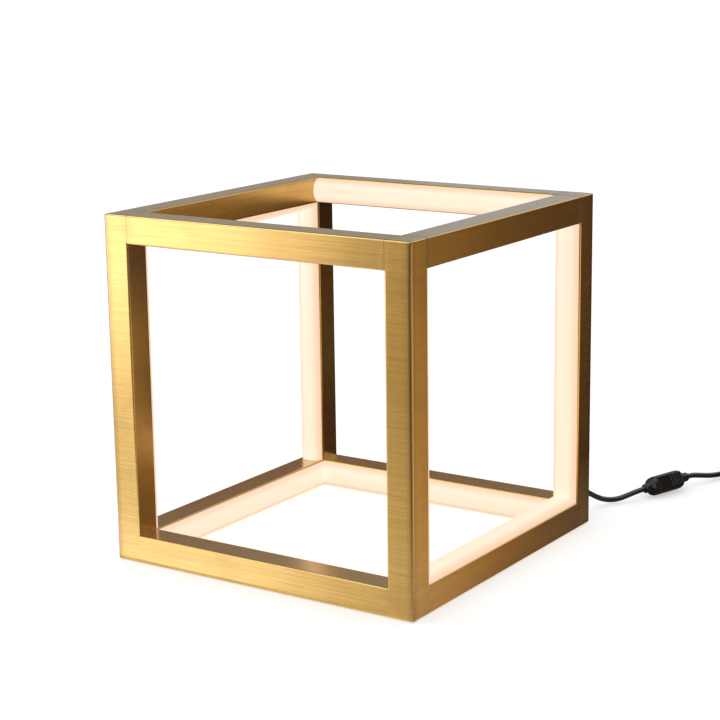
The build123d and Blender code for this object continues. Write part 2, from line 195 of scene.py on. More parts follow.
class Bench:
    """One node tree, with one method that adds any node to it."""

    def __init__(self, tree: bpy.types.NodeTree) -> None:
        """Keeps the tree and clears what it starts with."""
        self.tree = tree
        tree.nodes.clear()

    def node(
        self, kind: str, settings: dict[str, Any] | None = None, inputs: dict[Any, Any] | None = None
    ) -> bpy.types.Node:
        """Adds a node, sets it up and fills its sockets.

        Args:
            kind: Type name of the node.
            settings: Attributes of the node, set before its sockets.
            inputs: Values or links by socket name or number, or a list of links to one socket.

        Returns:
            The new node.
        """
        made = self.tree.nodes.new(kind)
        for name, value in (settings or {}).items():
            setattr(made, name, value)
        for key, value in (inputs or {}).items():
            for each in value if isinstance(value, list) else [value]:
                self.fill(made.inputs[key], each)
        return made

    def fill(self, socket: Socket, value: Any) -> None:
        """Links a socket, or sets its own value.

        Args:
            socket: Socket to fill.
            value: Signal or socket to link, or a plain value.
        """
        if isinstance(value, Signal):
            value = value.socket
        if isinstance(value, Socket):
            self.tree.links.new(value, socket)
        elif isinstance(value, tuple) and socket.type == "RGBA":
            socket.default_value = (*value, 1.0)
        else:
            socket.default_value = value

    def signals(self, vector: Socket) -> dict[Axis, Signal]:
        """The three parts of a vector, by axis."""
        parts = self.node("ShaderNodeSeparateXYZ", None, {0: vector}).outputs
        return {axis: Signal(self, parts[axis.value]) for axis in Axis}

    def centred(self, middle: Point = ORIGIN) -> Socket:
        """Object coordinates measured from a middle point."""
        place = self.node("ShaderNodeTexCoord").outputs["Object"]
        return self.node("ShaderNodeVectorMath", {"operation": "SUBTRACT"}, {0: place, 1: middle}).outputs[0]

    def noise(self, vector: Socket, scale: float | Point, detail: float = 2.0) -> Signal:
        """Noise that is even all round, or stretched by its own scale on each axis.

        Args:
            vector: Coordinates to read.
            scale: Features to the metre, for all axes or for each of them.
            detail: Octaves of finer noise.

        Returns:
            The noise, about a half on average.
        """
        scales = scale if isinstance(scale, tuple) else (scale,) * 3
        scaled = self.node("ShaderNodeMapping", None, {"Vector": vector, "Scale": scales}).outputs[0]
        made = self.node("ShaderNodeTexNoise", None, {"Vector": scaled, "Scale": 1.0, "Detail": detail})
        return Signal(self, made.outputs[0])

    def bands(self, vector: Socket, scale: float, **sizes: float) -> Signal:
        """Slanting bands across a piece.

        Args:
            vector: Coordinates to read.
            scale: Scale of the bands.
            sizes: Other sockets of the wave, by name.

        Returns:
            The bands, from nought to one.
        """
        settings = {"wave_type": "BANDS", "bands_direction": "DIAGONAL"}
        made = self.node("ShaderNodeTexWave", settings, {"Vector": vector, "Scale": scale, **sizes})
        return Signal(self, made.outputs[1])

    def mix(self, share: Any, first: Any, second: Any) -> Socket:
        """Blend of two colours, by the share of the second."""
        settings = {"data_type": "RGBA", "blend_type": "MIX"}
        return self.node("ShaderNodeMix", settings, {0: share, 6: first, 7: second}).outputs[2]

    def bump(self, height: Signal, strength: float = 1.0, distance: float = 1.0) -> Socket:
        """Normal that follows a height, whose unit is a distance in metres."""
        sizes = {"Strength": strength, "Distance": distance, "Height": height}
        return self.node("ShaderNodeBump", None, sizes).outputs[0]

    def paper(self, colour: Colour, glow: float = 0.0) -> Socket:
        """Shader of matt paper, or of paper that glows.

        Args:
            colour: Colour of the paper.
            glow: Strength of its light, or nought for matt paper.

        Returns:
            Socket of the shader.
        """
        if glow:
            return self.node("ShaderNodeEmission", None, {"Color": colour, "Strength": glow}).outputs[0]
        return self.node("ShaderNodeBsdfDiffuse", None, {"Color": colour}).outputs[0]

    def layered(self, share: Signal, first: Socket, second: Socket) -> Socket:
        """Blend of two shaders, by the share of the second."""
        return self.node("ShaderNodeMixShader", None, {0: share, 1: first, 2: second}).outputs[0]

    def end(self, shader: Socket) -> None:
        """Ends a material's tree in a shader."""
        self.node("ShaderNodeOutputMaterial", None, {"Surface": shader})


def start_material(name: str) -> tuple[Finish, Bench]:
    """New material with an empty tree.

    Args:
        name: Name of the material.

    Returns:
        The material and the bench for its tree.
    """
    made = bpy.data.materials.new(name)
    made.use_nodes = True
    return made, Bench(made.node_tree)


def end_material(bench: Bench, **sockets: Any) -> None:
    """Ends a tree in one Principled shader.

    Args:
        bench: Bench of the material's tree.
        sockets: Values or links, by socket name with underscores for spaces.
    """
    inputs = {name.replace("_", " "): value for name, value in sockets.items()}
    bench.end(bench.node("ShaderNodeBsdfPrincipled", None, inputs).outputs[0])


# Objects
def add_object(name: str, data: bpy.types.ID) -> Piece:
    """Adds an object in the scene.

    Args:
        name: Name of the object.
        data: Its mesh, curve, camera or light.

    Returns:
        The object.
    """
    made = bpy.data.objects.new(name, data)
    bpy.context.scene.collection.objects.link(made)
    return made


def add_mesh(name: str, points: Iterable[Point], faces: Iterable[Iterable[int]], material: Finish) -> Piece:
    """Adds a mesh object in the scene.

    Args:
        name: Name of the object.
        points: Corners in metres.
        faces: Corner numbers of each face.
        material: Material of all faces.

    Returns:
        The object.
    """
    mesh = bpy.data.meshes.new(name)
    mesh.from_pydata(list(points), [], [list(face) for face in faces])
    mesh.materials.append(material)
    return add_object(name, mesh)


def face_outwards(mesh: bpy.types.Mesh) -> None:
    """Turns the faces of closed shapes outwards and shades them smooth.

    Args:
        mesh: Mesh to put right.
    """
    shape = bmesh.new()
    shape.from_mesh(mesh)
    bmesh.ops.remove_doubles(shape, verts=shape.verts, dist=MERGE_REACH)
    bmesh.ops.recalc_face_normals(shape, faces=shape.faces)
    shape.to_mesh(mesh)
    shape.free()
    mesh.shade_smooth()


def aimed(place: Point, target: Point) -> Matrix:
    """Placing of something that faces a target.

    Args:
        place: Where it hangs.
        target: Point that it faces.

    Returns:
        Its place and turn.
    """
    turn = (Vector(target) - Vector(place)).to_track_quat("-Z", "Y")
    return Matrix.Translation(place) @ turn.to_matrix().to_4x4()


def dress_node(name: str, material: Finish) -> Piece:
    """Gives a CAD node its material.

    Args:
        name: Name of the node.
        material: Material of all its faces.

    Returns:
        The node's object.
    """
    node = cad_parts[name]
    node.data.materials.clear()
    node.data.materials.append(material)
    log.info("dressed %s in %s", name, material.name)
    return node


# Repeats
class RepeatTree:
    """Geometry Nodes tree with named inputs, grown into plain meshes."""

    def __init__(self, name: str, kinds: dict[str, InputKind]) -> None:
        """Starts the tree.

        Args:
            name: Name of the tree.
            kinds: Kind of each input by its name; the material's input is added to them.
        """
        self.tree = bpy.data.node_groups.new(name, "GeometryNodeTree")
        self.bench = Bench(self.tree)
        for label, kind in {**kinds, "Material": InputKind.FINISH}.items():
            self.tree.interface.new_socket(label, in_out="INPUT", socket_type=kind.value)
        self.tree.interface.new_socket("Geometry", in_out="OUTPUT", socket_type="NodeSocketGeometry")
        self.given = self.bench.node("NodeGroupInput").outputs

    def make(self, kind: str, inputs: dict[Any, Any], **settings: Any) -> Socket:
        """Adds a node and gives its first output."""
        return self.bench.node(kind, settings, inputs).outputs[0]

    def line(self, start: Socket, end: Socket) -> Socket:
        """Straight line between two points."""
        return self.make("GeometryNodeCurvePrimitiveLine", {"Start": start, "End": end})

    def circle(self, sides: int, radius: Any) -> Socket:
        """Circle of a number of sides."""
        return self.make("GeometryNodeCurvePrimitiveCircle", {"Resolution": sides, "Radius": radius})

    def row(self, line: Socket, count: Any) -> Socket:
        """A line as a number of evenly spaced points."""
        return self.make("GeometryNodeResampleCurve", {"Curve": line, "Count": count}, mode="COUNT")

    def factor(self) -> Signal:
        """Place along a line, from nought to one."""
        return Signal(self.bench, self.make("GeometryNodeSplineParameter", {}))

    def heading(self, axis: Axis) -> Socket:
        """Turn that lays one axis along the line."""
        tangent = self.make("GeometryNodeInputTangent", {})
        return self.make("FunctionNodeAlignRotationToVector", {"Vector": tangent}, axis=axis.name)

    def rounded_bar(self, half: Socket, radius: Socket) -> Socket:
        """Bar round its own middle, with blunt rounded ends.

        Args:
            half: Socket of the way from the middle to one end.
            radius: Socket of its radius.

        Returns:
            Socket of the bar's mesh.
        """
        back = self.make("ShaderNodeVectorMath", {0: half, "Scale": -1.0}, operation="SCALE")
        spine = self.row(self.line(back, half), BAR_RINGS)
        taper = (BAR_END - abs(self.factor() * 2.0 - 1.0) ** BAR_BLUNTNESS) ** 0.5
        sizes = {"Curve": spine, "Profile Curve": self.circle(BAR_SIDES, radius), "Scale": taper}
        return self.make("GeometryNodeCurveToMesh", {**sizes, "Fill Caps": True})

    def close(self, points: Socket, shape: Socket, **sizes: Any) -> "RepeatTree":
        """Sets a shape on each point and ends the tree.

        Args:
            points: Socket of the points.
            shape: Socket of the shape that repeats.
            sizes: Rotation and Scale of each one, where they have them.

        Returns:
            The tree.
        """
        copies = self.make("GeometryNodeInstanceOnPoints", {"Points": points, "Instance": shape, **sizes})
        real = self.make("GeometryNodeRealizeInstances", {0: copies})
        dressed = self.make("GeometryNodeSetMaterial", {"Geometry": real, "Material": self.given["Material"]})
        self.bench.node("NodeGroupOutput", None, {0: dressed})
        return self

    def grow(self, name: str, slot: str, **values: Any) -> Piece:
        """Runs the tree once and keeps the result as a plain mesh.

        Args:
            name: Name of the piece.
            slot: Name of a material slot; not used.
            values: Value of each input, by its name with underscores for spaces.

        Returns:
            The piece, without its modifier.
        """
        piece = add_object(name, bpy.data.meshes.new(name))
        modifier = piece.modifiers.new(self.tree.name, "NODES")
        modifier.node_group = self.tree
        for item in self.tree.interface.items_tree:
            if item.in_out == "INPUT":
                modifier[item.identifier] = values[item.name.replace(" ", "_").lower()]
        graph = bpy.context.evaluated_depsgraph_get()
        mesh = bpy.data.meshes.new_from_object(piece.evaluated_get(graph), depsgraph=graph)
        piece.modifiers.clear()
        piece.data = mesh
        face_outwards(mesh)
        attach(piece, LAMP_BODY)
        log.info("grew %s with %d faces", name, len(mesh.polygons))
        return piece


def ring_tree() -> RepeatTree:
    """Tree of the moulded rings round a tapered sleeve.

    Returns:
        The tree.
    """
    size, place = InputKind.SIZE, InputKind.PLACE
    kinds = {"Start": place, "End": place, "Count": InputKind.COUNT}
    tree = RepeatTree("relief_rings", {**kinds, "Root Radius": size, "Tip Radius": size, "Ring Share": size})
    given = tree.given
    hoop, section = tree.circle(RING_SIDES, 1.0), tree.circle(BAR_SIDES, given["Ring Share"])
    ring = tree.make("GeometryNodeCurveToMesh", {"Curve": hoop, "Profile Curve": section})
    root, tip = (Signal(tree.bench, given[name]) for name in ("Root Radius", "Tip Radius"))
    radius = root + tree.factor() * (tip - root)
    points = tree.row(tree.line(given["Start"], given["End"]), given["Count"])
    return tree.close(points, ring, Rotation=tree.heading(Axis.Z), Scale=radius)


def rib_tree() -> RepeatTree:
    """Tree of the grip ribs on two sides of a case.

    Returns:
        The tree.
    """
    place = InputKind.PLACE
    kinds = {"Start": place, "End": place, "Across": place, "Half Rib": place}
    tree = RepeatTree("grip_ribs", {**kinds, "Count": InputKind.COUNT, "Rib Radius": InputKind.SIZE})
    given = tree.given
    near = tree.line(given["Start"], given["End"])
    far = tree.make("GeometryNodeTransform", {"Geometry": near, "Translation": given["Across"]})
    both = tree.make("GeometryNodeJoinGeometry", {0: [near, far]})
    rib = tree.rounded_bar(given["Half Rib"], given["Rib Radius"])
    return tree.close(tree.row(both, given["Count"]), rib)


def stitch_tree() -> RepeatTree:
    """Tree of the stitches that box in a strap's lap.

    Returns:
        The tree.
    """
    size, place = InputKind.SIZE, InputKind.PLACE
    kinds = {"Middle": place, "Half Stitch": place, "Count": InputKind.COUNT}
    tree = RepeatTree("lap_stitches", {**kinds, "Width": size, "Length": size, "Thread Radius": size})
    given = tree.given
    sides = {"Width": given["Width"], "Height": given["Length"]}
    box = tree.make("GeometryNodeCurvePrimitiveQuadrilateral", sides)
    lifted = tree.make("GeometryNodeTransform", {"Geometry": box, "Translation": given["Middle"]})
    stitch = tree.rounded_bar(given["Half Stitch"], given["Thread Radius"])
    return tree.close(tree.row(lifted, given["Count"]), stitch, Rotation=tree.heading(Axis.X))


# Finishes
@dataclass(frozen=True)
class CubeSizes:
    """Sizes of the cube, read from one of its posts."""

    side: float
    bar: float

    @classmethod
    def read(cls) -> "CubeSizes":
        """Sizes of the cube in the frame."""
        low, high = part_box("post_front_left")
        return cls(side=high.z - low.z, bar=high.x - low.x)

    @property
    def half(self) -> float:
        """Distance from the middle to a side."""
        return self.side / 2

    @property
    def middle(self) -> Point:
        """Middle of the cube."""
        return (0.0, 0.0, self.half)

    @property
    def bar_centre(self) -> float:
        """Distance from the middle to the line through a bar."""
        return self.half - self.bar / 2

    @property
    def seam(self) -> float:
        """Distance from the middle to the seams between rails and posts."""
        return self.half - self.bar


@dataclass(frozen=True)
class BarPlace:
    """Place of a point on a bar, as a material's tree reads it."""

    grain: Axis
    cube: CubeSizes
    parts: dict[Axis, Signal]

    @property
    def away(self) -> dict[Axis, Signal]:
        """Distance from the middle of the cube along each axis."""
        return {axis: abs(part) for axis, part in self.parts.items()}

    @property
    def level(self) -> Signal:
        """The lesser level distance from the middle, largest at the upright edges."""
        return abs(self.parts[Axis.X]).least(abs(self.parts[Axis.Y]))


@dataclass(frozen=True)
class BrushedBrass:
    """Lacquered antique brass, brushed along each bar and smoked a little at its soldered seams, with a
    painted highlight along its outer edges and painted shade beside the upright edges and under the top
    rails.
    """

    bright: Colour = (0.672, 0.422, 0.101)
    deep: Colour = (0.536, 0.322, 0.070)
    patina: Colour = (0.430, 0.240, 0.050)
    # Colour of the smoke at the seams, also used for the painted shade beside the upright edges
    smoke: Colour = (0.260, 0.130, 0.030)
    # Dark brown of the painted shade under the top rails
    under_rail_shade: Colour = (0.120, 0.050, 0.010)
    # Lighter brass of the painted highlight along the outer edges
    edge_highlight: Colour = (0.760, 0.520, 0.170)
    roughness: float = 0.25
    brush_along: float = 7.0
    brush_across: float = 950.0
    cross_share: float = 0.45
    hair_along: float = 22.0
    hair_across: float = 2600.0
    hair_share: float = 0.6
    hair_roughness: float = 0.06
    mark_span: Span = (0.36, 0.64)
    cloud_scale: float = 24.0
    cloud_span: Span = (0.45, 0.85)
    cloud_share: float = 0.55
    smoke_span: Span = (0.30, 0.70)
    smoke_share: float = 0.10
    smoke_corner_share: float = 0.55
    smoke_corner_start: float = -0.02
    smoke_reach: float = 0.006
    smoke_roughness: float = 0.25
    # Share of the painted highlight along the outer edges
    edge_highlight_share: float = 0.32
    edge_reach: float = 0.0016
    soft_reach: float = 0.0024
    soft_slope: float = 0.40
    # Painted shade beside the upright edges: its share and reach
    corner_share: float = 0.6
    corner_reach: float = 0.0065
    # Painted shade under the top rails: its share, reach and inner-face edge
    under_rail_shade_share: float = 0.9
    under_rail_shade_reach: float = 0.085
    heat_edge: float = 0.0006
    relief: float = 0.0000044
    relief_hair_share: float = 0.7
    coat: float = 1.0
    coat_roughness: float = 0.22

    def stretched(self, grain: Axis, along: float, across: float) -> Point:
        """Noise scale of marks that run along a rail, or level round a post.

        Args:
            grain: Axis of the bar.
            along: Features to the metre along the marks.
            across: Features to the metre across them.

        Returns:
            The scale on each axis.
        """
        if grain is Axis.Z:
            return (along, along, across)
        return (along, across, across) if grain is Axis.X else (across, along, across)

    def seam_mask(self, spot: BarPlace) -> Signal:
        """Share of smoke near the seams of a bar.

        Args:
            spot: Place on the bar.

        Returns:
            One at a seam, nought away from it.
        """
        seam, reach, away = spot.cube.seam, self.smoke_reach, spot.away
        if spot.grain is not Axis.Z:
            return 1.0 - abs(away[spot.grain] - seam).rise(0.0, reach)
        beside = abs(away[Axis.X] - seam).least(abs(away[Axis.Y] - seam))
        return away[Axis.Z].rise(seam - reach, seam + reach) * (1.0 - beside.rise(0.0, reach))

    def edge_highlight_mask(self, spot: BarPlace) -> Signal:
        """Share of painted highlight along the edges of the outer upright faces, left out where a rail meets
        a post.

        Args:
            spot: Place on the bar.

        Returns:
            One at an edge, nought on the flat.
        """
        cube, reach, away = spot.cube, self.edge_reach, spot.away
        sides = [abs(away[axis] - cube.bar_centre) for axis in Axis if axis is not spot.grain]
        long_edges = sides[0].least(sides[1]).rise(cube.bar / 2 - reach, cube.bar / 2)
        outer = away[Axis.X].most(away[Axis.Y]).rise(cube.half - 2 * reach, cube.half - reach)
        worn = long_edges * outer * (1.0 - away[spot.grain].rise(cube.seam - reach, cube.seam))
        for level in (Axis.X, Axis.Y):
            worn = worn.most(away[level].least(away[Axis.Z]).rise(cube.half - reach, cube.half))
        return worn

    def edge_shade_mask(self, spot: BarPlace) -> Signal:
        """Share of painted shade beside the upright edges of the cube, standing in for the dark reflection
        there.
        """
        return spot.level.rise(spot.cube.half - self.corner_reach, spot.cube.half)

    def edge_drop(self, spot: BarPlace) -> Signal:
        """Fall of the surface, in metres, towards the polished upright edges of the cube."""
        inside = (spot.level - (spot.cube.half - self.soft_reach)).most(0.0)
        return inside * inside * (-self.soft_slope / (2 * self.soft_reach))

    def under_rail_shade_mask(self, spot: BarPlace) -> Signal:
        """Share of painted shade on the posts' inner faces, below the top rails.

        Args:
            spot: Place on the post.

        Returns:
            One under a top rail, nought further down and on the outer faces.
        """
        seam = spot.cube.seam
        inner = 1.0 - spot.level.rise(seam, seam + self.heat_edge)
        return inner * spot.parts[Axis.Z].rise(seam - self.under_rail_shade_reach, seam)

    def smoke_mask(self, spot: BarPlace, cloud: Signal) -> Signal:
        """Share of smoke, more of it towards the top right.

        Args:
            spot: Place on the bar.
            cloud: Noise that breaks the smoke up.

        Returns:
            The share.
        """
        seam = spot.cube.seam
        corner = spot.parts[Axis.X].rise(self.smoke_corner_start, seam) * spot.parts[Axis.Z].rise(0.0, seam)
        share = self.smoke_share + corner * (self.smoke_corner_share - self.smoke_share)
        return self.seam_mask(spot) * cloud.rise(*self.smoke_span) * share

    def material(self, grain: Axis, cube: CubeSizes) -> Finish:
        """Brass of the bars that run along one axis.

        Args:
            grain: Axis of those bars.
            cube: Sizes of the cube.

        Returns:
            The material.
        """
        made, bench = start_material(f"brushed_brass_{grain.name.lower()}")
        place = bench.centred(cube.middle)
        spot = BarPlace(grain, cube, bench.signals(place))
        brush = bench.noise(place, self.stretched(grain, self.brush_along, self.brush_across))
        hair = bench.noise(place, self.stretched(grain, self.hair_along, self.hair_across), detail=1.0)
        if grain is Axis.Z:
            upright = bench.noise(place, (self.brush_across, self.brush_across, self.brush_along))
            brush = brush.blend(upright, self.cross_share)
        cloud = bench.noise(place, self.cloud_scale, detail=3.0)
        smoke = self.smoke_mask(spot, cloud)
        layers = [
            (brush.blend(hair, self.hair_share).rise(*self.mark_span), self.bright),
            (cloud.rise(*self.cloud_span) * self.cloud_share, self.patina),
            (smoke, self.smoke),
            # Painted shade beside the upright edges, in the smoke colour
            (self.edge_shade_mask(spot) * self.corner_share, self.smoke),
            # Painted highlight along the outer edges
            (self.edge_highlight_mask(spot) * self.edge_highlight_share, self.edge_highlight),
        ]
        # Painted shade on the posts' inner faces under the top rails
        if grain is Axis.Z:
            layers.append((self.under_rail_shade_mask(spot) * self.under_rail_shade_share, self.under_rail_shade))
        colour = self.deep
        for share, layer in layers:
            colour = bench.mix(share, colour, layer)
        grooves = brush.blend(hair, self.relief_hair_share) * self.relief
        end_material(
            bench,
            Base_Color=colour,
            Metallic=1.0,
            Roughness=self.roughness + hair.swing(self.hair_roughness) + smoke * self.smoke_roughness,
            Coat_Weight=self.coat,
            Coat_Roughness=self.coat_roughness,
            Normal=bench.bump(self.edge_drop(spot) + grooves),
        )
        return made


@dataclass(frozen=True)
class OpalGlow:
    """Opal plastic lit from inside, cream along its crown and peach towards its edges."""

    crown: Colour = (0.90, 0.72, 0.54)
    rim: Colour = (0.80, 0.50, 0.32)
    corner: Colour = (0.93, 0.79, 0.63)
    plastic: Colour = (0.22, 0.19, 0.16)
    milky: Colour = (0.242, 0.209, 0.176)
    half_width: float = 0.009
    rim_span: Span = (0.48, 1.02)
    rim_share: float = 0.8
    corner_reach: float = 0.018
    corner_share: float = 0.8
    haze_scale: float = 60.0
    haze_share: float = 0.10
    grain_scale: float = 1400.0
    roughness: float = 0.38
    roughness_swing: float = 0.10
    strength: float = 1.0

    def material(self, across: Axis, cube: CubeSizes) -> Finish:
        """Opal of the diffusers whose width lies along one axis.

        Args:
            across: Axis of the width.
            cube: Sizes of the cube.

        Returns:
            The material.
        """
        made, bench = start_material(f"opal_glow_{across.name.lower()}")
        place = bench.centred(cube.middle)
        parts = bench.signals(place)
        off = abs(abs(parts[across]) - cube.bar_centre)
        others = [abs(part) for axis, part in parts.items() if axis is not across]
        near_corner = others[0].least(others[1]).rise(cube.seam - self.corner_reach, cube.seam)
        haze = bench.noise(place, self.haze_scale)
        rim = off.rise(*(self.half_width * share for share in self.rim_span)) + haze.swing(self.haze_share)
        glow = bench.mix(near_corner * self.corner_share, self.crown, self.corner)
        grain = bench.noise(place, self.grain_scale, detail=1.0)
        end_material(
            bench,
            Base_Color=bench.mix(haze, self.plastic, self.milky),
            Roughness=self.roughness + grain.swing(self.roughness_swing),
            Emission_Color=bench.mix(rim * self.rim_share, glow, self.rim),
            Emission_Strength=self.strength,
            Normal=bench.bump(grain, strength=0.05, distance=0.0001),
        )
        return made


@dataclass(frozen=True)
class MouldedPlastic:
    """Moulded plastic with a fine spark-eroded grain, polished a little where hands touch it."""

    name: str
    colour: Colour
    worn: Colour
    roughness: float
    grain_scale: float
    grain_height: float
    coat: float = 0.0
    coat_ior: float = 1.5
    coat_roughness: float = 0.16
    grain_span: Span = (0.55, 0.80)
    grain_share: float = 0.3
    rub_scale: float = 45.0
    rub_span: Span = (0.45, 0.75)
    rub_share: float = 0.6
    rub_polish: float = 0.08
    roughness_swing: float = 0.12

    def material(self) -> Finish:
        """The material of this plastic.

        Returns:
            The material.
        """
        made, bench = start_material(self.name)
        place = bench.centred()
        grain = bench.noise(place, self.grain_scale)
        rub = bench.noise(place, self.rub_scale).rise(*self.rub_span)
        worn = rub * self.rub_share + grain.rise(*self.grain_span) * self.grain_share
        end_material(
            bench,
            Base_Color=bench.mix(worn, self.colour, self.worn),
            Roughness=self.roughness - rub * self.rub_polish + grain.swing(self.roughness_swing),
            Coat_Weight=self.coat,
            Coat_Roughness=self.coat_roughness,
            Coat_IOR=self.coat_ior,
            Normal=bench.bump(grain, strength=0.30, distance=self.grain_height),
        )
        return made


@dataclass(frozen=True)
class BrightMetal:
    """Turned or stamped metal with fine marks and a little staining."""

    name: str
    colour: Colour
    stain: Colour
    roughness: float
    marks: float | Point
    stain_scale: float = 160.0
    stain_span: Span = (0.50, 0.80)
    stain_share: float = 0.5
    stain_roughness: float = 0.10
    roughness_swing: float = 0.18

    def material(self) -> Finish:
        """The material of this metal.

        Returns:
            The material.
        """
        made, bench = start_material(self.name)
        place = bench.centred()
        marks = bench.noise(place, self.marks)
        stain = bench.noise(place, self.stain_scale, detail=3.0).rise(*self.stain_span)
        end_material(
            bench,
            Base_Color=bench.mix(stain * self.stain_share, self.colour, self.stain),
            Metallic=1.0,
            Roughness=self.roughness + marks.swing(self.roughness_swing) + stain * self.stain_roughness,
            Normal=bench.bump(marks, strength=0.20, distance=0.0001),
        )
        return made


@dataclass(frozen=True)
class CircuitRibbon:
    """White solder mask of the light strips, with copper pads every few millimetres."""

    mask: Colour = (0.72, 0.70, 0.64)
    pad: Colour = (0.62, 0.42, 0.20)
    pad_scale: float = 57.0
    pad_span: Span = (0.90, 0.97)
    pad_shine: float = 0.8
    dust_scale: float = 300.0
    roughness: float = 0.45
    roughness_swing: float = 0.20

    def material(self) -> Finish:
        """The material of the strips.

        Returns:
            The material.
        """
        made, bench = start_material("circuit_ribbon")
        place = bench.centred()
        pads = bench.bands(place, self.pad_scale, Distortion=0.0).rise(*self.pad_span)
        end_material(
            bench,
            Base_Color=bench.mix(pads, self.mask, self.pad),
            Metallic=pads * self.pad_shine,
            Roughness=self.roughness + bench.noise(place, self.dust_scale).swing(self.roughness_swing),
        )
        return made


@dataclass(frozen=True)
class WovenStrap:
    """Woven black strap, its ribs across the width."""

    thread: Colour = (0.020, 0.020, 0.022)
    # Lighter colour on the weave's raised ribs: a painted highlight that follows the weave's height
    lit: Colour = (0.060, 0.060, 0.064)
    rib_scale: float = 55.0
    fuzz_scale: float = 2200.0
    fuzz_share: float = 0.4
    roughness: float = 0.80
    roughness_swing: float = 0.20
    sheen: float = 0.25

    def material(self) -> Finish:
        """The material of the tie.

        Returns:
            The material.
        """
        made, bench = start_material("woven_strap")
        place = bench.centred()
        fuzz = bench.noise(place, self.fuzz_scale)
        weave = bench.bands(place, self.rib_scale, Distortion=1.5, Detail=2.0).blend(fuzz, self.fuzz_share)
        end_material(
            bench,
            Base_Color=bench.mix(weave, self.thread, self.lit),
            Roughness=self.roughness + fuzz.swing(self.roughness_swing),
            Sheen_Weight=self.sheen,
            Normal=bench.bump(weave, strength=0.5, distance=0.0003),
        )
        return made


# Studio
@dataclass(frozen=True)
class PhotoCamera:
    """Camera at the photograph's viewpoint."""

    eye: Point = (0.7384, -1.1001, 0.4391)
    azimuth: float = 33.78
    elevation: float = 12.89
    roll: float = 0.81
    lens: float = 94.165
    sensor: float = 36.0

    def place(self) -> None:
        """Makes the camera and looks through it."""
        round_, up, turn = (math.radians(angle) for angle in (self.azimuth, self.elevation, self.roll))
        right = Vector((math.cos(round_), math.sin(round_), 0.0))
        back = Vector((math.sin(round_) * math.cos(up), -math.cos(round_) * math.cos(up), math.sin(up)))
        upward = back.cross(right)
        across = right * math.cos(turn) - upward * math.sin(turn)
        upward = right * math.sin(turn) + upward * math.cos(turn)
        data = bpy.data.cameras.new("photo_camera")
        data.lens = self.lens
        data.sensor_width = self.sensor
        camera = add_object("photo_camera", data)
        axes = Matrix((across, upward, back)).transposed()
        camera.matrix_world = Matrix.Translation(self.eye) @ axes.to_4x4()
        bpy.context.scene.camera = camera


@dataclass(frozen=True)
class Fade:
    """Smooth step over the floor, along one direction from an origin."""

    way: Place
    start: float
    end: float
    origin: Place = (0.0, 0.0)

    def signal(self, bench: Bench) -> Signal:
        """The step in a material's tree.

        Args:
            bench: Bench of the tree.

        Returns:
            Nought at the start, one at the end.
        """
        sides = {0: bench.centred((*self.origin, 0.0)), 1: (*self.way, 0.0)}
        along = bench.node("ShaderNodeVectorMath", {"operation": "DOT_PRODUCT"}, sides)
        return Signal(bench, along.outputs["Value"]).rise(self.start, self.end)


@dataclass(frozen=True, kw_only=True)
class Card:
    """Stage card of matt or glowing paper that only gloss sees."""

    name: str
    colour: Colour
    glow: float = 0.0

    def paper(self, bench: Bench) -> Socket:
        """Shader of the card's paper."""
        return bench.paper(self.colour, self.glow)

    def outline(self) -> list[Point]:
        """Corners of the card."""
        raise NotImplementedError

    def faces(self, count: int) -> list[Iterable[int]]:
        """One face over all its corners."""
        return [range(count)]

    def build(self) -> None:
        """Sets the card up."""
        made, bench = start_material(self.name)
        bench.end(self.paper(bench))
        corners = self.outline()
        card = add_mesh(self.name, corners, self.faces(len(corners)), made)
        card.visible_camera = False
        card.visible_diffuse = False
        card.visible_shadow = False
        card.visible_transmission = False


@dataclass(frozen=True, kw_only=True)
class FloorCard(Card):
    """Card on the floor that may turn to a far colour, and fades in over the floor."""

    plan: tuple[Place, ...]
    far: Colour | None = None
    turn: Fade | None = None
    fades: tuple[Fade, ...] = ()
    lift: float = 0.001

    def paper(self, bench: Bench) -> Socket:
        """Shader of the paper, with its turn and its fades.

        Args:
            bench: Bench of the material's tree.

        Returns:
            Socket of the shader.
        """
        shown = bench.paper(self.colour, self.glow)
        if self.turn:
            shown = bench.layered(self.turn.signal(bench), shown, bench.paper(self.far, self.glow))
        for fade in self.fades:
            clear = bench.node("ShaderNodeBsdfTransparent").outputs[0]
            shown = bench.layered(fade.signal(bench), clear, shown)
        return shown

    def outline(self) -> list[Point]:
        """Corners of the card, just over the floor."""
        return [(x, y, self.lift) for x, y in self.plan]


@dataclass(frozen=True, kw_only=True)
class WallCard(Card):
    """Curved wall round the lamp, from a first to a last bearing in degrees."""

    first: float
    last: float
    radius: float = 2.4
    foot: float = 0.0
    height: float = 2.2
    sides: int = 48

    def outline(self) -> list[Point]:
        """Foot and top of the wall at each of its edges.

        Returns:
            The corners.
        """
        corners = []
        for index in range(self.sides + 1):
            angle = math.radians(self.first + (self.last - self.first) * index / self.sides)
            x, y = self.radius * math.sin(angle), -self.radius * math.cos(angle)
            corners += [(x, y, self.foot), (x, y, self.height)]
        return corners

    def faces(self, count: int) -> list[Iterable[int]]:
        """One upright face between each two edges."""
        return [(foot, foot + 1, foot + 3, foot + 2) for foot in range(0, count - 2, 2)]


@dataclass(frozen=True, kw_only=True)
class PanelCard(Card):
    """Panel in the air, turned to face a target."""

    place: Point
    size: tuple[float, float]
    target: Point

    def outline(self) -> list[Point]:
        """Corners of the panel.

        Returns:
            The corners.
        """
        placing = aimed(self.place, self.target)
        wide, tall = (side / 2 for side in self.size)
        return [tuple(placing @ Vector((x * wide, y * tall, 0.0))) for x, y in SQUARE]


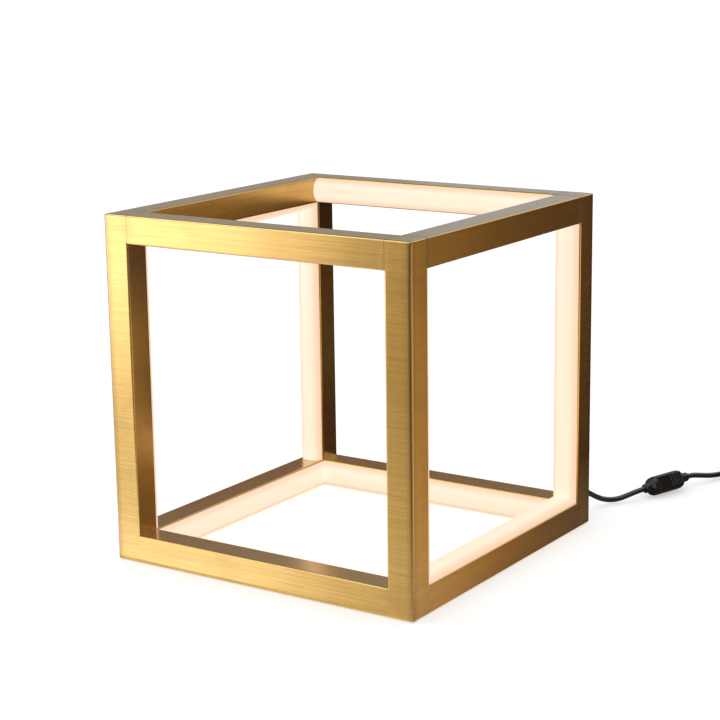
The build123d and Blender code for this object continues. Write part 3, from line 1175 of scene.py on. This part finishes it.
# What the brass mirrors in the photograph: floor, then walls, then the panel over the front edge
ALONG_RIGHT: Place = (-0.787, 0.617)
ACROSS_MIRROR: Place = (-0.832, 0.555)
RIGHT_ORIGIN: Place = (0.13, 0.10)
TO_FRONT_RIGHT: Place = (0.74, -0.67)
BACK_BROWN: Colour = (0.130, 0.085, 0.055)
CARDS: tuple[Card, ...] = (
    FloorCard(
        name="back_card",
        colour=(0.74, 0.425, 0.08),
        far=(0.098, 0.054, 0.035),
        turn=Fade(ACROSS_MIRROR, -0.13, 0.03, RIGHT_ORIGIN),
        plan=((0.127, -0.127), (2.4, -0.9), (2.4, 2.4), (0.115, 2.4), (0.115, -0.115)),
        fades=(Fade(ALONG_RIGHT, -0.28, -0.04, RIGHT_ORIGIN), Fade((1.0, 0.0), -0.38, 0.26)),
    ),
    FloorCard(
        name="left_card",
        colour=(0.105, 0.064, 0.050),
        plan=((0.115, 0.115), (0.115, 2.4), (-2.4, 2.4), (-2.4, -0.45), (-0.128, -0.03), (-0.128, 0.115)),
    ),
    FloorCard(
        name="inside_card",
        colour=(0.34, 0.22, 0.12),
        plan=((-0.115, -0.115), (0.115, -0.115), (0.115, 0.115), (-0.115, 0.115)),
    ),
    FloorCard(
        name="right_card",
        colour=(0.40, 0.30, 0.11),
        far=(0.085, 0.050, 0.020),
        turn=Fade(TO_FRONT_RIGHT, 0.35, 0.60),
        plan=((-0.125, -0.127), (0.127, -0.127), (2.4, -0.9), (2.4, -2.4), (-1.6, -2.4)),
        fades=(Fade(TO_FRONT_RIGHT, 0.10, 0.34),),
    ),
    FloorCard(
        name="bounce_card",
        colour=(0.93, 0.96, 1.10),
        plan=((-0.60, -0.128), (0.20, -0.128), (0.08, -0.34), (-0.72, -0.34)),
        fades=(Fade((0.0, 1.0), -0.28, -0.13), Fade((-0.83, 0.55), -0.15, -0.03)),
        glow=1.95,
        lift=0.0012,
    ),
    FloorCard(
        name="side_card",
        colour=(1.0, 0.90, 0.50),
        plan=((0.14, -0.122), (1.6, -0.38), (1.6, 0.92)),
        glow=1.5,
        lift=0.0014,
    ),
    WallCard(name="dark_wall", colour=BACK_BROWN, first=50.0, last=142.0),
    WallCard(name="back_wall", colour=BACK_BROWN, first=142.0, last=175.0, height=0.55),
    WallCard(name="pale_wall", colour=(0.66, 0.68, 0.70), first=175.0, last=211.0),
    WallCard(name="grey_wall", colour=(0.56, 0.52, 0.46), first=211.0, last=300.0),
    WallCard(
        name="high_wall", colour=(0.10, 0.07, 0.05), first=200.0, last=262.0, radius=1.6, foot=0.9, height=3.2
    ),
    WallCard(
        name="low_wall", colour=(0.34, 0.23, 0.165), first=180.0, last=250.0, radius=0.52, height=0.20
    ),
    PanelCard(
        name="edge_panel",
        colour=(0.80, 0.92, 1.0),
        glow=2.4,
        place=(-0.33, -0.30, 0.60),
        size=(0.60, 0.30),
        target=(-0.12, -0.125, 0.25),
    ),
)


@dataclass(frozen=True)
class Studio:
    """Pale floor, white surroundings, one soft box, and cards that only the gloss sees."""

    floor_reach: float = 30.0
    floor_drop: float = 0.0005
    floor_colour: Colour = (0.86, 0.86, 0.86)
    floor_white: float = 0.45
    fill: float = 0.75
    box_place: Point = (-0.746, -0.602, 0.18)
    box_size: tuple[float, float] = (0.740, 0.36)
    box_power: float = 1.55
    box_colour: Colour = (1.0, 0.96, 1.14)
    box_target: Point = (0.0, 0.0, 0.14)
    cards: tuple[Card, ...] = CARDS

    def seen(self, bench: Bench) -> Signal:
        """Rays to which the background shows as white.

        Args:
            bench: Bench of the tree that asks.

        Returns:
            One for rays of the camera, of gloss and through glass.
        """
        path = bench.node("ShaderNodeLightPath").outputs
        rays = [Signal(bench, path[f"Is {kind} Ray"]) for kind in ("Camera", "Glossy", "Transmission")]
        return rays[0].most(rays[1]).most(rays[2])

    def surround(self) -> None:
        """White surroundings that light the lamp at a plain level."""
        world = bpy.data.worlds.new("white_room")
        world.use_nodes = True
        bpy.context.scene.world = world
        bench = Bench(world.node_tree)
        lit, white = (
            bench.node("ShaderNodeBackground", None, {"Color": WHITE, "Strength": strength}).outputs[0]
            for strength in (self.fill, 1.0)
        )
        shown = bench.layered(self.seen(bench), lit, white)
        bench.node("ShaderNodeOutputWorld", None, {"Surface": shown})

    def floor(self) -> None:
        """Pale floor that keeps the lamp's shadow."""
        material, bench = start_material("pale_floor")
        matt, white = bench.paper(self.floor_colour), bench.paper(WHITE, self.floor_white)
        lifted = bench.node("ShaderNodeAddShader", None, {0: matt, 1: white}).outputs[0]
        bench.end(bench.layered(self.seen(bench), matt, lifted))
        reach = self.floor_reach
        corners = [(x * reach, y * reach, -self.floor_drop) for x, y in SQUARE]
        add_mesh("floor", corners, [range(len(SQUARE))], material)

    def soft_box(self) -> None:
        """Soft box at the front left."""
        data = bpy.data.lights.new("soft_box", "AREA")
        data.shape = "RECTANGLE"
        data.size, data.size_y = self.box_size
        data.energy = self.box_power
        data.color = self.box_colour
        light = add_object("soft_box", data)
        light.matrix_world = aimed(self.box_place, self.box_target)
        light.visible_camera = False

    def build(self) -> None:
        """Sets the whole studio up."""
        bpy.context.scene.view_settings.view_transform = "Standard"
        self.surround()
        self.floor()
        self.soft_box()
        for card in self.cards:
            card.build()


# Lamp
@dataclass
class BrassCube:
    """The twelve bars, with their diffusers, strips and jumpers."""

    sizes: CubeSizes
    brass: BrushedBrass = field(default_factory=BrushedBrass)
    opal: OpalGlow = field(default_factory=OpalGlow)
    ribbon: CircuitRibbon = field(default_factory=CircuitRibbon)

    def axes_by_reach(self, node: str) -> list[Axis]:
        """Axes of a node from its longest side to its shortest."""
        low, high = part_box(node)
        return sorted(Axis, key=lambda axis: low[axis.value] - high[axis.value])

    def dress(self) -> None:
        """Gives the posts, rails, diffusers and strips of the cube their finishes."""
        brass = {axis: self.brass.material(axis, self.sizes) for axis in Axis}
        opal = {axis: self.opal.material(axis, self.sizes) for axis in (Axis.X, Axis.Z)}
        strip = self.ribbon.material()
        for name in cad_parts:
            if name.startswith(("post_", "rail_")):
                dress_node(name, brass[self.axes_by_reach(name)[0]])
            elif name.startswith("diffuser_"):
                dress_node(name, opal[self.axes_by_reach(name)[1]])
            elif name.startswith("strip_"):
                dress_node(name, strip)


@dataclass(frozen=True)
class Coil:
    """Put-away turns of the cord, wound in and out a layer at a time."""

    start: Point = (0.165428, 0.314628, 0.0029)
    outer: float = 0.030375
    pitch: float = 0.0047
    layers: int = 4
    turns_per_layer: float = 2.5
    turns_per_climb: float = 0.5
    points_per_turn: int = 16

    @property
    def middle(self) -> Vector:
        """Middle of the coil at the height of its start."""
        return Vector(self.start) + Vector((self.outer, 0.0, 0.0))

    def point(self, turn: float) -> Point:
        """Control point of the coil after a number of turns.

        Args:
            turn: Turns wound so far.

        Returns:
            The point.
        """
        within = turn % (2 * self.turns_per_layer)
        inward = min(within, 2 * self.turns_per_layer - within)
        radius = (self.outer - inward * self.pitch) / math.cos(math.pi / self.points_per_turn)
        lift = 0.0
        for climb in range(1, self.layers):
            climbed = (turn - climb * self.turns_per_layer) / self.turns_per_climb + 0.5
            share = min(1.0, max(0.0, climbed))
            lift += self.pitch * share * share * (3 - 2 * share)
        angle = math.pi - 2 * math.pi * turn
        return tuple(self.middle + Vector((radius * math.cos(angle), radius * math.sin(angle), lift)))

    def points(self) -> list[Point]:
        """Control points of all turns, from first to last."""
        count = round(self.layers * self.turns_per_layer * self.points_per_turn)
        return [self.point((index + 0.5) / self.points_per_turn) for index in range(count)]


@dataclass
class Cord:
    """Black cord from the strain relief through the switch and the coil to the adapter."""

    diameter: float = 0.0042
    length: float = 1.77
    stiffness: Stiffness = Stiffness.MEDIUM
    lay: Lay = Lay.LOOSE
    far_end: FarEnd = FarEnd.PLUG
    coil: Coil = field(default_factory=Coil)
    quarter_sides: int = 4
    steps_per_point: int = 6
    exit: Point = (0.1115, 0.136, 0.017)
    tail: tuple[Point, ...] = (
        (0.1115, 0.1300, 0.0170),
        (0.1115, 0.1360, 0.0170),
        (0.1115, 0.1436, 0.0170),
        (0.1116, 0.1506, 0.0143),
        (0.1127, 0.1584, 0.0098),
        (0.1149, 0.1672, 0.0054),
        (0.1187, 0.1754, 0.0030),
        (0.1234, 0.1820, 0.0034),
        (0.1281, 0.1876, 0.0056),
        (0.1323, 0.1935, 0.0075),
        (0.1346, 0.2012, 0.0078),
    )
    inside_switch: tuple[Point, ...] = (
        (0.1363, 0.2070, 0.0078),
        (0.1376, 0.2160, 0.0070),
        (0.1393, 0.2248, 0.0065),
        (0.1427, 0.2332, 0.0070),
        (0.1469, 0.2424, 0.0078),
    )
    run: tuple[Point, ...] = (
        (0.148910, 0.249108, 0.0078),
        (0.150828, 0.255528, 0.0078),
        (0.154628, 0.263128, 0.0063),
        (0.158828, 0.272328, 0.0044),
        (0.162228, 0.282128, 0.0033),
        (0.164428, 0.292328, 0.0028),
        (0.165428, 0.302428, 0.0029),
        (0.165428, 0.310428, 0.0029),
    )
    end: tuple[Point, ...] = (
        (0.165428, 0.318828, 0.0170),
        (0.165428, 0.326828, 0.0170),
        (0.165628, 0.335828, 0.0167),
        (0.166028, 0.344828, 0.0162),
        (0.166028, 0.352828, 0.0162),
        (0.166028, 0.358828, 0.0162),
    )
    jacket: MouldedPlastic = MouldedPlastic(
        "cord_jacket",
        colour=(0.007, 0.007, 0.007),
        worn=(0.012, 0.012, 0.012),
        roughness=0.34,
        grain_scale=900.0,
        grain_height=0.00003,
        coat=1.0,
        coat_ior=1.6,
    )

    def build(self) -> Piece:
        """One round tube along the whole route.

        Returns:
            The cord.
        """
        route = [*self.tail, *self.inside_switch, *self.run, *self.coil.points(), *self.end]
        data = bpy.data.curves.new("cord", "CURVE")
        data.dimensions = "3D"
        data.bevel_depth = self.diameter / 2
        data.bevel_resolution = self.quarter_sides
        data.resolution_u = self.steps_per_point
        data.use_fill_caps = True
        spline = data.splines.new("NURBS")
        spline.points.add(len(route) - 1)
        for knot, place in zip(spline.points, route):
            knot.co = (*place, 1.0)
        spline.order_u = 3
        spline.use_endpoint_u = True
        spline.use_smooth = True
        data.materials.append(self.jacket.material())
        cord = add_object("cord", data)
        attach(cord, LAMP_BODY)
        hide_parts("cord_tail", "cord_run", "cord_coil", "cord_end")
        log.info("built cord of %d points", len(route))
        return cord

    def declare(self) -> None:
        """Reads the cord's exit point and does nothing more.
        """
        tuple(self.exit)


FLEX = MouldedPlastic(
    "soft_relief",
    colour=(0.012, 0.012, 0.012),
    worn=(0.024, 0.024, 0.024),
    roughness=0.42,
    grain_scale=1200.0,
    grain_height=0.00005,
)


@dataclass(frozen=True)
class RingedSleeve:
    """Tapered strain relief with moulded rings round it."""

    node: str
    root: float
    tip: float
    rings: int
    root_margin: float
    tip_margin: float
    root_first: bool
    ring_share: float = 0.15

    def build(self, rings: RepeatTree, flex: Finish) -> list[Piece]:
        """Dresses the sleeve and grows its rings.

        Args:
            rings: Tree of the rings.
            flex: Material of the sleeve.

        Returns:
            The sleeve and its rings.
        """
        low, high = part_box(self.node)
        middle = (low + high) / 2
        ends = (low.y + self.root_margin, high.y - self.tip_margin)
        if not self.root_first:
            ends = (high.y - self.root_margin, low.y + self.tip_margin)
        start, end = ((middle.x, y, middle.z) for y in ends)
        made = rings.grow(
            f"{self.node}_rings",
            "black_flex",
            start=start,
            end=end,
            count=self.rings,
            root_radius=self.root,
            tip_radius=self.tip,
            ring_share=self.ring_share,
            material=flex,
        )
        return [dress_node(self.node, flex), made]


GLAND = RingedSleeve(
    "cord_gland", root=0.0033, tip=0.0029, rings=4, root_margin=0.0030, tip_margin=0.0014, root_first=True
)
ADAPTER_SLEEVE = RingedSleeve(
    "adapter_relief",
    root=0.0035,
    tip=0.0029,
    rings=5,
    root_margin=0.0020,
    tip_margin=0.0014,
    root_first=False,
)


@dataclass
class InlineSwitch:
    """Switch on the cord: two shells, a ribbed rocker on its pin, and two screws."""

    shell: MouldedPlastic = MouldedPlastic(
        "switch_shell",
        colour=(0.006, 0.006, 0.006),
        worn=(0.012, 0.012, 0.012),
        roughness=0.32,
        grain_scale=1500.0,
        grain_height=0.00004,
        coat=0.3,
    )
    button: MouldedPlastic = MouldedPlastic(
        "rocker_button",
        colour=(0.005, 0.005, 0.005),
        worn=(0.012, 0.012, 0.012),
        roughness=0.24,
        grain_scale=1900.0,
        grain_height=0.00003,
        coat=0.6,
    )
    steel: BrightMetal = BrightMetal(
        "turned_steel", colour=(0.55, 0.55, 0.56), stain=(0.36, 0.34, 0.32), roughness=0.30, marks=1500.0
    )

    def dress(self) -> list[Piece]:
        """Gives the switch's pieces their finishes.

        Returns:
            The pieces.
        """
        shell, steel = self.shell.material(), self.steel.material()
        finishes = {
            "switch_base": shell,
            "switch_cover": shell,
            "switch_rocker": self.button.material(),
            "switch_pivot": steel,
            "switch_screws": steel,
        }
        return [dress_node(name, material) for name, material in finishes.items()]


@dataclass
class PlugAdapter:
    """Plug-in adapter at the cord's end, with grip ribs on both sides of its case."""

    ribs: int = 10
    rib_pitch: float = 0.0026
    rib_radius: float = 0.0008
    rib_half: float = 0.0092
    first_rib: float = 0.009
    case: MouldedPlastic = MouldedPlastic(
        "adapter_shell",
        colour=(0.012, 0.012, 0.012),
        worn=(0.024, 0.024, 0.024),
        roughness=0.42,
        grain_scale=1100.0,
        grain_height=0.00008,
    )
    plated: BrightMetal = BrightMetal(
        "plated_blade",
        colour=(0.66, 0.64, 0.60),
        stain=(0.48, 0.44, 0.38),
        roughness=0.24,
        marks=(1800.0, 90.0, 1800.0),
    )

    def grips(self, ribs: RepeatTree, plastic: Finish) -> Piece:
        """Ribs on the two sides of the case.

        Args:
            ribs: Tree of the ribs.
            plastic: Material of the case.

        Returns:
            The ribs, in one piece.
        """
        low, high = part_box("adapter_case")
        first = low.y + self.first_rib
        level = (low.z + high.z) / 2
        return ribs.grow(
            "adapter_grips",
            "black_plastic",
            start=(low.x, first, level),
            end=(low.x, first + (self.ribs - 1) * self.rib_pitch, level),
            across=(high.x - low.x, 0.0, 0.0),
            half_rib=(0.0, 0.0, self.rib_half),
            count=self.ribs,
            rib_radius=self.rib_radius,
            material=plastic,
        )

    def build(self, ribs: RepeatTree) -> list[Piece]:
        """Dresses the adapter and grows its ribs.

        Args:
            ribs: Tree of the ribs.

        Returns:
            The pieces.
        """
        case = self.case.material()
        finishes = {"adapter_case": case, "adapter_face": case, "adapter_blades": self.plated.material()}
        return [dress_node(name, material) for name, material in finishes.items()] + [self.grips(ribs, case)]


@dataclass
class CoilTie:
    """Strap wound round the coil's bundle of turns, its free end lapped over on top and stitched."""

    thickness: float = 0.0008
    corner: float = 0.0026
    steps_per_corner: int = 8
    lap: float = 0.011
    rounding: float = 0.00025
    stitches: int = 18
    stitch_half: float = 0.0005
    thread: float = 0.00016
    stitch_inset: float = 0.0012
    fabric: WovenStrap = field(default_factory=WovenStrap)

    def outline(self) -> list[Place]:
        """Middle line of the strap round the bundle, as places across and up.

        Returns:
            Points once round from the middle of the top, then along the lap.
        """
        low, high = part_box("coil_tie")
        inset = self.thickness / 2
        middle = (low.y + high.y) / 2
        left, right = low.y + inset, high.y - inset
        bottom, top = low.z + inset, high.z - inset
        points = [(middle, top)]
        corners = ((right, top, 90), (right, bottom, 0), (left, bottom, -90), (left, top, -180))
        for across, up, first in corners:
            centre_across = across - math.copysign(self.corner, across - middle)
            centre_up = up - math.copysign(self.corner, up - (bottom + top) / 2)
            for step in range(self.steps_per_corner + 1):
                angle = math.radians(first - 90 * step / self.steps_per_corner)
                ahead, above = self.corner * math.cos(angle), self.corner * math.sin(angle)
                points.append((centre_across + ahead, centre_up + above))
        lifted = top + self.thickness
        return points + [(middle + self.lap * third / 3, lifted) for third in (-1, 0, 1)]

    def section(self, half_width: float) -> list[Place]:
        """Rounded section of the strap.

        Args:
            half_width: Half of the strap's width.

        Returns:
            Places across the width and outwards, once round.
        """
        half, soft = self.thickness / 2, self.rounding
        corner = [(half_width, 0.0), (half_width - soft / 3, half - soft / 3), (half_width - soft, half)]
        upper = corner + [(-across, out) for across, out in reversed(corner)]
        return upper + [(across, -out) for across, out in reversed(upper[1:-1])]

    def build(self, stitches: RepeatTree) -> list[Piece]:
        """The strap as a closed band, with its stitches.

        Args:
            stitches: Tree of the stitches.

        Returns:
            The strap and the stitches.
        """
        low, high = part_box("coil_tie")
        middle = (low + high) / 2
        line = [Vector((middle.x, across, up)) for across, up in self.outline()]
        section = self.section((high.x - low.x) / 2)
        count = len(section)
        points = []
        for index, place in enumerate(line):
            before = line[max(index - 1, 0)]
            after = line[min(index + 1, len(line) - 1)]
            out = Vector((1.0, 0.0, 0.0)).cross((after - before).normalized())
            points += [tuple(place + Vector((across, 0.0, 0.0)) + out * rise) for across, rise in section]
        faces = [tuple(range(count)), tuple(range(len(points) - 1, len(points) - 1 - count, -1))]
        for ring in range(len(line) - 1):
            for side in range(count):
                first, second = count * ring + side, count * ring + (side + 1) % count
                faces.append((first, first + count, second + count, second))
        fabric = self.fabric.material()
        tie = add_mesh("tie_strap", points, faces, fabric)
        face_outwards(tie.data)
        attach(tie, LAMP_BODY)
        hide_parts("coil_tie")
        log.info("built tie of %d rings", len(line))
        return [tie, self.sew(stitches, fabric)]

    def sew(self, stitches: RepeatTree, fabric: Finish) -> Piece:
        """Stitches round the lap.

        Args:
            stitches: Tree of the stitches.
            fabric: Material of the thread.

        Returns:
            The stitches, in one piece.
        """
        low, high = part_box("coil_tie")
        middle = (low + high) / 2
        return stitches.grow(
            "tie_stitches",
            "tie_fabric",
            middle=(middle.x, middle.y, high.z + self.thickness),
            half_stitch=(self.stitch_half, 0.0, 0.0),
            count=self.stitches,
            width=high.x - low.x - 2 * self.stitch_inset,
            length=self.lap * 2 / 3 - 2 * self.stitch_inset,
            thread_radius=self.thread,
            material=fabric,
        )


def main() -> None:
    """Sets the studio up, then builds and dresses the lamp."""
    logging.basicConfig(level=logging.INFO, format="%(name)s: %(message)s")
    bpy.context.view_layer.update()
    PhotoCamera().place()
    Studio().build()
    cord = Cord()
    tube = cord.build()
    BrassCube(CubeSizes.read()).dress()
    rings, flex = ring_tree(), FLEX.material()
    on_cord = GLAND.build(rings, flex)
    on_cord += InlineSwitch().dress()
    on_cord += ADAPTER_SLEEVE.build(rings, flex)
    on_cord += PlugAdapter().build(rib_tree())
    on_cord += CoilTie().build(stitch_tree())
    cord.declare()


if __name__ == "__main__":
    main()
